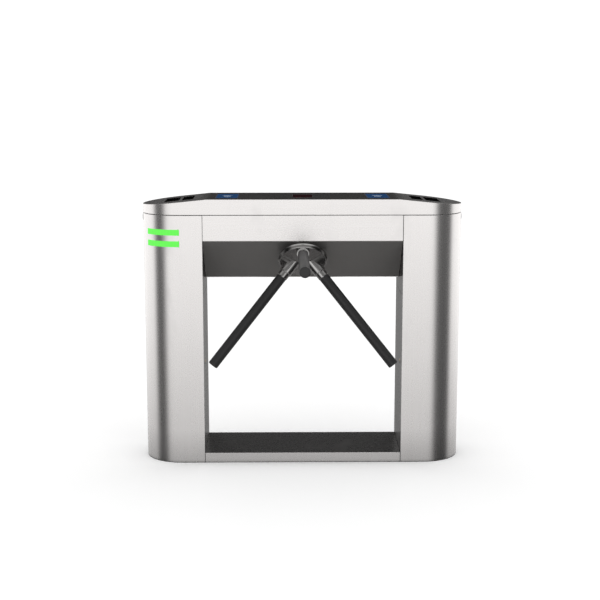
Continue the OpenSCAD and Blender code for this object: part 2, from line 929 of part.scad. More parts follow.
// Pivot pins: index lever, spring anchor, and one pin for each pawl
module mechanism_pivots() {
  top = cross_z - tiny;
  color("silver") tilted() {
    translate([lever_pivot[0], lever_pivot[1], housing_z + tiny])
      cylinder(r = 6, h = lever_z + lever_t - housing_z);
    translate([lever_end[0], -40, housing_z + tiny]) cylinder(r = 4, h = cam_z + 14 - housing_z);
    both_sides() translate([pawl_pivot[0], pawl_pivot[1], pawl_z - 0.5])
      cylinder(r = 5, h = top - pawl_z + 0.5);
  }
}

module index_lever() {
  boss_r = 11;
  color("darkgray") tilted() difference() {
    union() {
      translate([0, 0, lever_z]) {
        bar(lever_pivot, [0, roller_y], 16, lever_t, 8.5, 6);
        bar([0, roller_y], lever_end, 13, lever_t, 6, 2);
        disc([0, roller_y], 9, lever_t);
        disc(lever_end, 7.5, lever_t);
      }
      translate([0, 0, lever_z - 12]) disc(lever_pivot, boss_r, 12 + lever_t);
      translate([0, roller_y, cam_z + 0.5]) cylinder(r = 4, h = cam_t + 1);
      translate([lever_end[0], lever_end[1], cam_z]) cylinder(r = 3.5, h = cam_t + 1);
    }
    translate([lever_pivot[0], lever_pivot[1], 0]) cylinder(r = 6 + running, h = body_w);
  }
}

module index_roller() {
  color("silver") tilted() translate([0, roller_y, cam_z + 1])
    tube(roller_r, 4 + running, cam_t - 1.5);
}

// Pawl on the +X side: nose beside the lock wheel, tail held by the plunger's fork
module pawl() {
  arm_w = 12;
  nose_x = wheel_r + 1.5;
  nose_half = 4;
  color("darkgray") tilted() translate([0, 0, pawl_z]) difference() {
    union() {
      bar(pawl_pivot, [nose_x + 12, 0], arm_w, pawl_t, 7);
      bar(pawl_pivot, [tail_x, pawl_pivot[1]], arm_w - 1, pawl_t, 7, 4.5);
      disc(pawl_pivot, arm_w / 2 + 3, pawl_t);
      disc([tail_x, pawl_pivot[1]], arm_w / 2, pawl_t);
      linear_extrude(height = pawl_t) polygon([[nose_x, 1 - nose_half], [nose_x, nose_half - 1],
        [nose_x + 3, nose_half], [nose_x + 8, nose_half], [nose_x + 13, 7], [nose_x + 17, -4],
        [nose_x + 8, -nose_half], [nose_x + 3, -nose_half]]);
    }
    translate([pawl_pivot[0], pawl_pivot[1], -1]) cylinder(r = 5 + running, h = pawl_t + 2);
    translate([tail_x, pawl_pivot[1], -1]) cylinder(r = 3, h = pawl_t + 2);
  }
}

module left_pawl() {
  mirror([1, 0, 0]) pawl();
}

module right_pawl() {
  pawl();
}

// Solenoid plunger: rod, and a fork with a pin that holds the pawl's tail
module plunger() {
  fork_half = 8;
  color("silver") tilted() {
    translate([tail_x, -8, plunger_z]) rotate([-90, 0, 0]) cylinder(r = 5, h = 51);
    box([tail_x - 7, 42, plunger_z - fork_half], [tail_x + 7, 47, plunger_z + fork_half]);
    for (s = [-1, 1])
      box([tail_x - 7, 46.5, plunger_z + s * 6.25 - 1.75], [tail_x + 7, 60, plunger_z + s * 6.25 + 1.75]);
    translate([tail_x, pawl_pivot[1], plunger_z - fork_half]) cylinder(r = 2.5, h = 2 * fork_half);
  }
}

module left_plunger() {
  mirror([1, 0, 0]) plunger();
}

module right_plunger() {
  plunger();
}

// Open steel frames with a coil, on brackets inside the ribs
module solenoids() {
  y0 = -28;
  y1 = 22;
  half = coil_half;
  wall = 3;
  color("#7a4a20") tilted() both_sides() difference() {
    union() {
      box([tail_x - half, y1 - wall, plunger_z - half], [tail_x + half, y1, plunger_z + half]);
      box([tail_x - half, y0, plunger_z - half], [tail_x + half, y0 + wall, plunger_z + half]);
      box([tail_x + half - wall, y0, plunger_z - half], [tail_x + half, y1, plunger_z + half]);
      translate([tail_x - 1, y0 + 1, plunger_z]) rotate([-90, 0, 0]) cylinder(r = 11.5, h = y1 - y0 - 2);
    }
    translate([tail_x, -14, plunger_z]) rotate([-90, 0, 0]) cylinder(r = 5 + running, h = through);
  }
}

// The index lever's pull spring and the two plungers' return springs
module return_springs() {
  color("silver") tilted() {
    translate([lever_end[0], -34, cam_z + 7]) rotate([-90, 0, 0]) coil(5, 1.1, 76, 12);
    both_sides() translate([tail_x, 22.6, plunger_z]) rotate([-90, 0, 0]) coil(7, 0.7, 15, 6);
  }
}

// ---------------------------------------------------------------- nodes

base_plate();
floor_rail();
left_pillar_shell();
right_pillar_shell();
left_inner_panel();
right_inner_panel();
header_front_panel();
header_rear_panel();
hub_panel();
top_frame();
lid_gasket();
mechanism_frame();
bearing_housing();
housing_bolts();
bearing_outer_rings();
mechanism_pivots();
return_springs();
damper();
position_sensors();
solenoids();
control_board();
power_supply();
wiring_harness();
status_light_bars();
status_light_board();
lid_hinge_leaves();
lid_hinge_pins();
lid();
lid_hinge_straps();
indicator_windows();
scanner_windows();
reader_pads();
reader_modules();
counter_window();
counter_board();
hub();
main_shaft();
hub_bolt();
bearing_inner_rings();
bearing_balls();
index_cam();
lock_wheel();
encoder_disc();
arm_tubes();
arm_collars();
arm_sleeves();
arm_end_caps();
arm_clamp_screws();
index_lever();
index_roller();
left_pawl();
right_pawl();
left_plunger();
right_plunger();
left_door();
right_door();
left_door_lock();
right_door_lock();
left_lid_lock();
right_lid_lock();
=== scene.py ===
import json
import math

import bmesh
import bpy
from mathutils import Matrix, Vector


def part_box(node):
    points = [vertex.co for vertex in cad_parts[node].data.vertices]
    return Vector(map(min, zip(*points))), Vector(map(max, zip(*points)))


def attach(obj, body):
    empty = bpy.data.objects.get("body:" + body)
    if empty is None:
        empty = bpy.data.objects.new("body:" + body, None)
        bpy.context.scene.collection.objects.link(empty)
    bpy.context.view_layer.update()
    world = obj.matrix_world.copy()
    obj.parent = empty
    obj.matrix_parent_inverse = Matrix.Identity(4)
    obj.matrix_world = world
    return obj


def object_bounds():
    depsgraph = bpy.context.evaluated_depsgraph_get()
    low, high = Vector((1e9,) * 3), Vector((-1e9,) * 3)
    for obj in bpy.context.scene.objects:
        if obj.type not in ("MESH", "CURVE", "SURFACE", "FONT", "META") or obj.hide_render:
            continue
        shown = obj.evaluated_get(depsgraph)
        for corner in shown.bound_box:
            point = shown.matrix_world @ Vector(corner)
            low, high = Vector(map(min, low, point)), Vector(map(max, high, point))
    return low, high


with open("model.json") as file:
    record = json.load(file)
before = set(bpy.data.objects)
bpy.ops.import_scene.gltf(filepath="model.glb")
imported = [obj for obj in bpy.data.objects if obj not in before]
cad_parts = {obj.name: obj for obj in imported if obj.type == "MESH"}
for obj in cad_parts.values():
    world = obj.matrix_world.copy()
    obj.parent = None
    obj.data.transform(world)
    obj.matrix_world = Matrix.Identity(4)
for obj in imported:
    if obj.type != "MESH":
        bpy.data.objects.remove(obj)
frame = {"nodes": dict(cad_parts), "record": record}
cad_low, cad_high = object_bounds()

MM = 0.001
END_CENTRE = 0.460  # centre of a round end, along X
BODY_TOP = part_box("header_front_panel")[1][2]
NODES = frame["nodes"]
scene = bpy.context.scene


# ---------------------------------------------------------------- shader helpers


class Shader:
    """A material's node tree, with short names for the nodes that the looks below share."""

    def __init__(self, name):
        self.material = bpy.data.materials.new(name)
        self.material.use_nodes = True
        self.tree = self.material.node_tree
        self.tree.nodes.clear()
        self.out = self.tree.nodes.new("ShaderNodeOutputMaterial")
        self.place = None

    def node(self, kind, inputs=None, **settings):
        made = self.tree.nodes.new("ShaderNode" + kind)
        for key, value in settings.items():
            setattr(made, key, value)
        for key, value in (inputs or {}).items():
            self.put(made.inputs[key], value)
        return made

    def put(self, socket, value):
        if isinstance(value, bpy.types.NodeSocket):
            self.tree.links.new(value, socket)
        elif isinstance(value, tuple) and len(value) == 3 and socket.type == "RGBA":
            socket.default_value = (*value, 1.0)
        else:
            socket.default_value = value

    def math(self, how, a, b=0.0, c=0.0):
        made = self.node("Math", operation=how)
        for socket, value in zip(made.inputs, (a, b, c)):
            self.put(socket, value)
        return made.outputs[0]

    def spread(self, value, low, high, to_low=0.0, to_high=1.0, smooth=False):
        """value between low and high becomes to_low to to_high, and is held there outside."""
        how = "SMOOTHSTEP" if smooth else "LINEAR"
        made = self.node("MapRange", {0: value, 1: low, 2: high, 3: to_low, 4: to_high}, interpolation_type=how)
        return made.outputs[0]

    def mix(self, share, a, b):
        """A colour between a and b."""
        made = self.node("Mix", data_type="RGBA")
        self.put(made.inputs[0], share)
        self.put(made.inputs[6], a)
        self.put(made.inputs[7], b)
        return made.outputs[2]

    def at(self, stretch=(1, 1, 1), turn=(0, 0, 0)):
        """The point on the piece, in metres, scaled along each axis: it stays on the piece as its body moves."""
        if self.place is None:
            self.place = self.node("TexCoord").outputs["Object"]
        made = self.node("Mapping", {"Vector": self.place, "Scale": stretch, "Rotation": turn})
        return made.outputs[0]

    def noise(self, scale, stretch=(1, 1, 1), detail=3.0, rough=0.55, turn=(0, 0, 0)):
        where = self.at(stretch, turn)
        made = self.node("TexNoise", {"Vector": where, "Scale": scale, "Detail": detail, "Roughness": rough})
        return made.outputs[0]

    def cells(self, scale, stretch=(1, 1, 1), feature="F1", output="Distance"):
        made = self.node("TexVoronoi", {"Vector": self.at(stretch), "Scale": scale}, feature=feature)
        return made.outputs[output]

    def bump(self, height, strength, distance, over=None):
        made = self.node("Bump", {"Height": height, "Strength": strength, "Distance": distance})
        if over is not None:
            self.put(made.inputs["Normal"], over)
        return made.outputs[0]

    def anti_glare(self, level):
        """The specular level of a coated face, which fades as the face turns edge on."""
        facing = self.node("LayerWeight", {"Blend": 0.5}).outputs["Facing"]
        return self.spread(facing, 0.45, 0.80, level, 0.0, smooth=True)

    def surface(self, **inputs):
        made = self.node("BsdfPrincipled", {key.replace("_", " "): value for key, value in inputs.items()})
        return made.outputs[0]

    def done(self, surface):
        self.tree.links.new(surface, self.out.inputs["Surface"])
        return self.material


# ---------------------------------------------------------------- looks


def satin_steel(name, colour, along, rough=0.27, foot=True, shade=None, metal=1.0):
    """Satin stainless sheet: hairlines along one axis, mottling, faint smears, and a foot painted darker: painted shade
    of the floor contact, with a little scuffing.

    Seen nearly edge on, an "up" sheet's top or an "all" sheet is painted darker: painted reflection of what stands
    close to it.
    """
    s = Shader(name)
    fine = {"x": (0.02, 1, 1), "y": (1, 0.02, 1), "z": (1, 1, 0.02)}[along]
    hair = s.noise(1500, fine, 2.0, 0.7)
    streak = s.noise(260, fine, 3.0, 0.6)
    mottle = s.noise(120, (1, 1, 1), 3.0, 0.55)
    cloud = s.noise(4.5, (1, 1, 1), 3.0, 0.5)
    smear = s.spread(s.noise(9, (1, 1, 0.45), 5.0, 0.62), 0.56, 0.72, smooth=True)
    roughness = s.math("ADD", rough - 0.02, s.math("MULTIPLY", mottle, 0.02))
    roughness = s.math("ADD", roughness, s.math("MULTIPLY", streak, 0.03))
    roughness = s.math("ADD", roughness, s.math("MULTIPLY", smear, 0.04))
    tone = s.spread(s.math("ADD", s.math("MULTIPLY", streak, 0.6), s.math("MULTIPLY", cloud, 0.4)), 0.3, 0.7)
    dark = tuple(0.965 * c for c in colour)
    light = tuple(min(1.0, 1.03 * c) for c in colour)
    base = s.mix(tone, dark, light)
    # painted shade: towards the floor the steel is painted darker, standing in for the floor's contact shadow in its
    # reflection, with a little scuffing as well
    if foot:
        height = s.node("SeparateXYZ", {0: s.at()}).outputs[2]
        scuff = s.spread(height, 0.0, 0.13, 0.36, 0.0)
        scuff = s.math("MULTIPLY", scuff, s.spread(mottle, 0.3, 0.7, 0.92, 1.08))
        scuff = s.math("ADD", scuff, s.spread(height, 0.0, 0.012, 0.25, 0.0))
        base = s.mix(scuff, base, tuple(0.2 * c for c in colour))
    # painted shade: seen nearly edge on, the base colour turns darker, standing in for the reflection of nearby parts;
    # an "up" sheet darkens only on its level top, not on the lid's slopes
    if shade:
        grazing_shade = s.spread(s.node("LayerWeight", {"Blend": 0.5}).outputs["Facing"], 0.66, 0.86, smooth=True)
        if shade == "up":
            normal = s.node("SeparateXYZ", {0: s.node("NewGeometry").outputs["Normal"]}).outputs
            grazing_shade = s.math("MULTIPLY", grazing_shade, s.spread(normal[2], 0.7, 0.9))
            slope = s.math("ABSOLUTE", normal[0])
            grazing_shade = s.math("MULTIPLY", grazing_shade, s.spread(slope, 0.03, 0.08, 1.0, 0.0))
        base = s.mix(grazing_shade, base, tuple(SHADED[shade] * c for c in colour))
    normal = s.bump(hair, 0.03, 0.0004)
    normal = s.bump(mottle, 0.02, 0.0006, normal)
    return s.done(s.surface(Base_Color=base, Metallic=metal, Roughness=roughness, Normal=normal))


def polished(name, colour, rough):
    """Chrome plate with micro-scratches in two directions and thin hazy patches."""
    s = Shader(name)
    scratch_a = s.spread(s.noise(900, (1, 0.03, 1), 2.0, 0.6, (0.4, 0.2, 0.7)), 0.62, 0.7)
    scratch_b = s.spread(s.noise(700, (0.03, 1, 1), 2.0, 0.6, (0.9, 0.5, 0.1)), 0.63, 0.7)
    haze = s.noise(40, (1, 1, 1), 4.0, 0.6)
    scratches = s.math("MAXIMUM", scratch_a, scratch_b)
    roughness = s.math("ADD", rough, s.math("MULTIPLY", haze, 0.05))
    roughness = s.math("ADD", roughness, s.math("MULTIPLY", scratches, 0.06))
    base = s.mix(haze, colour, tuple(0.93 * c for c in colour))
    normal = s.bump(scratches, 0.05, 0.0002)
    return s.done(s.surface(Base_Color=base, Metallic=1.0, Roughness=roughness, Normal=normal))


def machined(name, colour, rough=0.30):
    """Turned and ground steel: close tool marks, a film of oil in patches."""
    s = Shader(name)
    marks = s.noise(1100, (1, 1, 0.06), 2.0, 0.6)
    film = s.spread(s.noise(60, (1, 1, 1), 4.0, 0.6), 0.42, 0.62, smooth=True)
    base = s.mix(film, colour, tuple(0.72 * c for c in colour))
    roughness = s.math("SUBTRACT", rough + 0.05, s.math("MULTIPLY", film, 0.12))
    normal = s.bump(marks, 0.15, 0.0003)
    return s.done(s.surface(Base_Color=base, Metallic=1.0, Roughness=roughness, Normal=normal))


def zinc(name, colour):
    """Zinc-plated steel: spangle of dull and bright crystals with whitish bloom."""
    s = Shader(name)
    spangle = s.node("TexVoronoi", {"Vector": s.at(), "Scale": 90.0}).outputs["Color"]
    grey = s.node("SeparateColor", {0: spangle}).outputs[0]
    bloom = s.spread(s.noise(24, (1, 1, 1), 5.0, 0.65), 0.55, 0.75, smooth=True)
    base = s.mix(grey, tuple(0.82 * c for c in colour), tuple(1.12 * c for c in colour))
    base = s.mix(s.math("MULTIPLY", bloom, 0.4), base, (0.66, 0.66, 0.64))
    roughness = s.spread(grey, 0.0, 1.0, 0.34, 0.5)
    normal = s.bump(grey, 0.06, 0.0004)
    return s.done(s.surface(Base_Color=base, Metallic=0.9, Roughness=roughness, Normal=normal))


def painted(name, colour):
    """Cast metal under a coat of paint: orange peel over a coarse skin."""
    s = Shader(name)
    skin = s.noise(220, (1, 1, 1), 4.0, 0.6)
    grime = s.spread(s.noise(30, (1, 1, 1), 4.0, 0.6), 0.4, 0.7, smooth=True)
    base = s.mix(grime, colour, tuple(0.7 * c for c in colour))
    roughness = s.spread(skin, 0.3, 0.7, 0.38, 0.55)
    normal = s.bump(skin, 0.35, 0.0006)
    return s.done(s.surface(Base_Color=base, Metallic=0.15, Roughness=roughness, Normal=normal))


def soft_plastic(name, colour, rough=0.5, grain=0.3, sheen=0.0, specular=0.4):
    """Moulded plastic or rubber: fine pebble grain, scuffs that catch the light, slight fading."""
    s = Shader(name)
    pebble = s.cells(1400)
    fade = s.noise(14, (1, 1, 1), 4.0, 0.6)
    scuff = s.spread(s.noise(160, (1, 0.25, 1), 4.0, 0.65, (0.5, 0.3, 0.9)), 0.6, 0.72, smooth=True)
    base = s.mix(fade, tuple(0.85 * c for c in colour), tuple(1.2 * c for c in colour))
    base = s.mix(s.math("MULTIPLY", scuff, 0.25), base, tuple(min(1, 1.7 * c + 0.004) for c in colour))
    roughness = s.math("ADD", rough - 0.04, s.math("MULTIPLY", fade, 0.10))
    normal = s.bump(pebble, grain, 0.0002)
    return s.done(
        s.surface(
            Base_Color=base,
            Roughness=roughness,
            Specular_IOR_Level=specular,
            Sheen_Weight=sheen,
            Normal=normal,
        )
    )


def gloss(name, colour, rough=0.08, dirt=0.10, specular=0.5):
    """Gloss plastic or glass face: wiping marks and dust show as duller patches."""
    s = Shader(name)
    wipe = s.noise(26, (1, 0.35, 1), 4.0, 0.6, (0, 0, 0.5))
    speck = s.spread(s.cells(900), 0.10, 0.04)
    roughness = s.math("ADD", rough, s.math("MULTIPLY", wipe, dirt))
    base = s.mix(s.math("MULTIPLY", speck, 0.05), colour, (0.4, 0.4, 0.4))
    normal = s.bump(wipe, 0.02, 0.0010)
    return s.done(
        s.surface(
            Base_Color=base,
            Roughness=roughness,
            Specular_IOR_Level=s.anti_glare(specular),
            Normal=normal,
        )
    )


def smoked(name, tint, colour, clear):
    """A dark window that lets a share of what lies under it show through."""
    s = Shader(name)
    wipe = s.noise(26, (1, 0.35, 1), 4.0, 0.6, (0, 0, 0.5))
    roughness = s.math("ADD", 0.07, s.math("MULTIPLY", wipe, 0.09))
    solid = s.surface(Base_Color=colour, Roughness=roughness, Specular_IOR_Level=s.anti_glare(0.5))
    through = s.node("BsdfTransparent", {"Color": tint}).outputs[0]
    facing = s.node("LayerWeight", {"Blend": 0.35}).outputs["Facing"]
    share = s.math("MULTIPLY", s.math("SUBTRACT", 1.0, facing), clear)
    mixed = s.node("MixShader", {0: share, 1: solid, 2: through}).outputs[0]
    return s.done(mixed)


def light_bar(name, colour):
    """A milky diffuser lit from behind by a row of small lamps."""
    s = Shader(name)
    lamps = s.node("TexWave", {"Vector": s.at(), "Scale": 26.0, "Distortion": 0.0}).outputs[1]
    cloud = s.noise(30, (1, 1, 1), 3.0, 0.5)
    bright = s.spread(lamps, 0.0, 1.0, 0.985, 1.01)
    bright = s.math("MULTIPLY", bright, s.spread(cloud, 0.3, 0.7, 0.985, 1.01))
    grain = s.bump(s.noise(900, (1, 1, 1), 2.0, 0.5), 0.1, 0.0002)
    surface = s.surface(
        Base_Color=tuple(0.05 * c for c in colour),
        Roughness=0.45,
        Specular_IOR_Level=0.15,
        Emission_Color=colour,
        Emission_Strength=bright,
        Normal=grain,
    )
    return s.done(surface)


def glowing(name, colour, strength):
    """A lit segment behind a filter, a little uneven."""
    s = Shader(name)
    uneven = s.spread(s.noise(300, (1, 1, 1), 3.0, 0.5), 0.3, 0.7, 0.85 * strength, 1.1 * strength)
    surface = s.surface(Base_Color=colour, Roughness=0.4, Emission_Color=colour, Emission_Strength=uneven)
    return s.done(surface)


def board(name, colour):
    """Circuit board: solder mask over tracks, with pads and vias."""
    s = Shader(name)
    tracks = s.node(
        "TexBrick",
        {"Vector": s.at((1, 1, 1)), "Scale": 60.0, "Mortar Size": 0.03, "Color1": (0, 0, 0), "Color2": (0.2, 0.2, 0.2), "Mortar": (1, 1, 1)},
    ).outputs[0]
    via = s.spread(s.cells(260), 0.16, 0.11)
    base = s.mix(s.math("MULTIPLY", tracks, 0.6), colour, tuple(1.9 * c + 0.01 for c in colour))
    base = s.mix(via, base, (0.62, 0.47, 0.20))
    normal = s.bump(tracks, 0.3, 0.0002)
    roughness = s.spread(s.noise(50), 0.3, 0.7, 0.25, 0.4)
    return s.done(s.surface(Base_Color=base, Metallic=s.math("MULTIPLY", via, 0.8), Roughness=roughness, Normal=normal))


def winding(name, colour):
    """Varnished copper winding: close turns of wire."""
    s = Shader(name)
    turns = s.node(
        "TexWave",
        {"Vector": s.at((1, 1, 1), (math.radians(45), 0, 0)), "Scale": 300.0, "Distortion": 0.4},
        bands_direction="Y",
    ).outputs[1]
    # painted shade: the colour darkens in the creases between the turns of wire
    base = s.mix(turns, tuple(0.45 * c for c in colour), colour)
    normal = s.bump(turns, 0.5, 0.0004)
    roughness = s.spread(s.noise(80), 0.3, 0.7, 0.28, 0.45)
    return s.done(s.surface(Base_Color=base, Metallic=0.75, Roughness=roughness, Normal=normal))


def foam(name, colour):
    """Closed-cell foam rubber."""
    s = Shader(name)
    pores = s.cells(2600)
    # painted shade: the pores, dented by the bump, are painted darker than the rubber between them
    base = s.mix(pores, tuple(0.5 * c for c in colour), tuple(1.6 * c for c in colour))
    normal = s.bump(pores, 0.7, 0.0004)
    return s.done(s.surface(Base_Color=base, Roughness=0.9, Specular_IOR_Level=0.2, Normal=normal))


STEEL = (0.660, 0.645, 0.641)
# share of the steel's colour left under the painted shade of "up" and "all" sheets
SHADED = {"up": 0.34, "all": 0.13}
LOOKS = {
    "satin_steel": satin_steel("satin_steel_upright", STEEL, "z"),
    "satin_long_shaded": satin_steel("satin_steel_lengthwise_painted_shade", STEEL, "x", shade="up"),
    "satin_inner_shaded": satin_steel("satin_steel_inner_painted_shade", STEEL, "z", shade="all"),
    # the leaning panel is the same steel painted dark: painted shade for the dark it reflects from below
    "shaded_steel": satin_steel("satin_steel_leaning_painted_shade", (0.17, 0.165, 0.16), "x", 0.36, foot=False, metal=0.6),
    "chrome": polished("satin_chrome", (0.34, 0.336, 0.332), 0.15),
    "machined_steel": machined("ground_steel", (0.56, 0.56, 0.57)),
    "zinc_steel": zinc("zinc_plate", (0.52, 0.53, 0.53)),
    "cast_housing": painted("painted_casting", (0.20, 0.21, 0.22)),
    "black_sleeve": soft_plastic("sleeve_rubber", (0.0135, 0.0135, 0.014), 0.46, 0.25, 0.03, 0.35),
    "black_plastic": soft_plastic("moulded_black", (0.016, 0.016, 0.016), 0.42, 0.3),
    "black_glass": smoked("black_window", (0.10, 0.10, 0.11), (0.002, 0.002, 0.002), 0.35),
    "blue_pad": gloss("blue_face", (0.0165, 0.047, 0.118), 0.12, specular=0.35),
    "display_red": smoked("red_filter", (0.62, 0.05, 0.05), (0.020, 0.009, 0.010), 0.75),
    "green_light": light_bar("green_diffuser", (0.150, 0.925, 0.105)),
    "circuit_board": board("solder_mask", (0.012, 0.11, 0.045)),
    "coil_copper": winding("copper_winding", (0.55, 0.27, 0.12)),
    "spring_steel": machined("spring_wire", (0.50, 0.50, 0.51), 0.25),
    "gasket_rubber": foam("foam_rubber", (0.02, 0.02, 0.02)),
}
# nodes whose steel gets the painted shade when seen edge on
INNER = {"left_inner_panel", "right_inner_panel", "left_door", "right_door"}
LENGTHWISE = {"floor_rail", "header_front_panel", "header_rear_panel", "lid", "lid_hinge_leaves", "lid_hinge_straps"}


# ---------------------------------------------------------------- CAD nodes: looks, edges, shading


def smooth_by_angle(limit, spare_below=None):
    """Node group that joins split corners and shades smooth across edges flatter than the limit.

    With spare_below, it also weighs the sharp edges for the bevel: those below that height on a
    round end, which are the rims of the holes there, stay sharp.
    """
    group = bpy.data.node_groups.new("smooth_by_angle", "GeometryNodeTree")
    group.interface.new_socket("Geometry", in_out="INPUT", socket_type="NodeSocketGeometry")
    group.interface.new_socket("Geometry", in_out="OUTPUT", socket_type="NodeSocketGeometry")
    entry = group.nodes.new("NodeGroupInput")
    leave = group.nodes.new("NodeGroupOutput")
    weld = group.nodes.new("GeometryNodeMergeByDistance")
    weld.inputs["Distance"].default_value = 2e-6
    angle = group.nodes.new("GeometryNodeInputMeshEdgeAngle")
    sharp = group.nodes.new("ShaderNodeMath")
    sharp.operation = "GREATER_THAN"
    sharp.inputs[1].default_value = limit
    normals = group.nodes.new("GeometryNodeSetMeshNormal")
    links = group.links
    links.new(entry.outputs[0], weld.inputs["Geometry"])
    links.new(angle.outputs["Unsigned Angle"], sharp.inputs[0])
    links.new(weld.outputs["Geometry"], normals.inputs["Mesh"])
    links.new(sharp.outputs[0], normals.inputs["Edge Sharpness"])
    links.new(normals.outputs["Mesh"], leave.inputs[0])
    if spare_below is not None:

        def compare(kind, source, against):
            made = group.nodes.new("ShaderNodeMath")
            made.operation = kind
            links.new(source, made.inputs[0])
            if isinstance(against, bpy.types.NodeSocket):
                links.new(against, made.inputs[1])
            else:
                made.inputs[1].default_value = against
            return made.outputs[0]

        split = group.nodes.new("ShaderNodeSeparateXYZ")
        links.new(group.nodes.new("GeometryNodeInputPosition").outputs[0], split.inputs[0])
        beyond = compare("GREATER_THAN", compare("ABSOLUTE", split.outputs[0], 0.0), END_CENTRE)
        hole = compare("MULTIPLY", beyond, compare("LESS_THAN", split.outputs[2], spare_below))
        hole = compare("MULTIPLY", hole, compare("GREATER_THAN", split.outputs[2], FOOT_EDGE))
        weight = compare("MULTIPLY", sharp.outputs[0], compare("LESS_THAN", hole, 0.5))
        store = group.nodes.new("GeometryNodeStoreNamedAttribute")
        store.domain = "EDGE"
        store.inputs["Name"].default_value = "bevel_weight_edge"
        links.new(normals.outputs["Mesh"], store.inputs["Geometry"])
        links.new(weight, store.inputs["Value"])
        links.new(store.outputs[0], leave.inputs[0])
    return group


FOOT_EDGE = 5 * MM
SMOOTH = smooth_by_angle(math.radians(28))
SMOOTH_SHELL = smooth_by_angle(math.radians(28), spare_below=BODY_TOP - 3 * MM)
SHELLS = {"left_pillar_shell", "right_pillar_shell"}
EDGES_MM = {
    "left_pillar_shell": 1.2,
    "right_pillar_shell": 0.9,
    "header_front_panel": 1.0,
    "header_rear_panel": 0.6,
    "floor_rail": 0.7,
    "lid": 0.8,
    "left_inner_panel": 0.4,
    "right_inner_panel": 0.4,
    "left_door": 0.5,
    "right_door": 0.5,
    "status_light_bars": 0.3,
    "indicator_windows": 0.2,
    "scanner_windows": 0.2,
    "reader_pads": 0.25,
    "counter_window": 0.2,
    "arm_sleeves": 0.8,
}


def soften(obj, width_mm):
    made = obj.modifiers.new("rounded_edges", "BEVEL")
    made.width = width_mm * MM
    made.segments = 3
    if obj.name in SHELLS:
        made.limit_method = "WEIGHT"
    else:
        made.limit_method = "ANGLE"
        made.angle_limit = math.radians(35)
    made.use_clamp_overlap = True
    made.harden_normals = True
    made.miter_outer = "MITER_ARC"


subparts = {row["node"]: row["material_slot"] for row in frame["record"]["subparts"]}
for name, obj in NODES.items():
    key = subparts[name]
    look = LOOKS[key]
    if key == "satin_steel" and name in LENGTHWISE:
        look = LOOKS["satin_long_shaded"]
    if key == "satin_steel" and name in INNER:
        look = LOOKS["satin_inner_shaded"]
    obj.data.materials.clear()
    obj.data.materials.append(look)
    shading = obj.modifiers.new("smooth_by_angle", "NODES")
    shading.node_group = SMOOTH_SHELL if name in SHELLS else SMOOTH
    if name in EDGES_MM:
        soften(obj, EDGES_MM[name])


# ---------------------------------------------------------------- detail pieces: helpers


def new_piece(name, bm, look, body, round_mm=0.0):
    """A detail piece from a finished bmesh, smooth where it is round, that rides on a body."""
    bmesh.ops.recalc_face_normals(bm, faces=bm.faces)
    mesh = bpy.data.meshes.new(name)
    bm.to_mesh(mesh)
    bm.free()
    mesh.materials.append(look)
    piece = bpy.data.objects.new(name, mesh)
    scene.collection.objects.link(piece)
    shading = piece.modifiers.new("smooth_by_angle", "NODES")
    shading.node_group = SMOOTH
    if round_mm:
        soften(piece, round_mm)
    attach(piece, body)
    return piece


def rounded_rectangle(width, height, corner, steps=5):
    """Outline of a rectangle with round corners, centred on the origin."""
    points = []
    for quarter, (sx, sy) in enumerate(((1, 1), (-1, 1), (-1, -1), (1, -1))):
        for i in range(steps + 1):
            angle = math.radians(90 * quarter + 90 * i / steps)
            points.append(
                (
                    sx * (width / 2 - corner) + corner * math.cos(angle),
                    sy * (height / 2 - corner) + corner * math.sin(angle),
                )
            )
    return points


def arc_band(radius, width, start, end, steps=14):
    """Outline of a curved band between two angles in degrees."""
    angles = [math.radians(start + (end - start) * i / steps) for i in range(steps + 1)]
    outer = [((radius + width / 2) * math.cos(a), (radius + width / 2) * math.sin(a)) for a in angles]
    inner = [((radius - width / 2) * math.cos(a), (radius - width / 2) * math.sin(a)) for a in angles]
    return outer + inner[::-1]


def add_prism(bm, outline, place, height, hole=None):
    """Closed prism of an outline from z = 0 to height, with an optional hole whose outline has as many points."""

    def ring(points, z):
        return [bm.verts.new(place @ Vector((x, y, z))) for x, y in points]

    def walls(low, high):
        for i in range(len(low)):
            j = (i + 1) % len(low)
            bm.faces.new((low[i], low[j], high[j], high[i]))

    low, high = ring(outline, 0.0), ring(outline, height)
    walls(low, high)
    if hole is None:
        bm.faces.new(low[::-1])
        bm.faces.new(high)
        return
    low_hole, high_hole = ring(hole, 0.0), ring(hole, height)
    walls(high_hole, low_hole)
    walls(low_hole, low)
    walls(high, high_hole)


def add_turned(bm, profile, place, steps=28):
    """Closed turned shape from (radius, z) points that start and end on the axis or form a ring."""
    rings = []
    for radius, z in profile:
        if radius == 0:
            rings.append([bm.verts.new(place @ Vector((0, 0, z)))])
            continue
        turns = [2 * math.pi * i / steps for i in range(steps)]
        rings.append([bm.verts.new(place @ Vector((radius * math.cos(a), radius * math.sin(a), z))) for a in turns])
    closed = profile[0][0] > 0
    for k in range(len(rings) if closed else len(rings) - 1):
        one, two = rings[k], rings[(k + 1) % len(rings)]
        for i in range(steps):
            j = (i + 1) % steps
            corners = [one[i % len(one)], one[j % len(one)], two[j % len(two)], two[i % len(two)]]
            bm.faces.new(list(dict.fromkeys(corners)))


def shift(x=0.0, y=0.0, z=0.0):
    return Matrix.Translation((x, y, z))


def turned_to(axis):
    """Rotation that takes local Z to an axis."""
    return Vector((0, 0, 1)).rotation_difference(Vector(axis)).to_matrix().to_4x4()


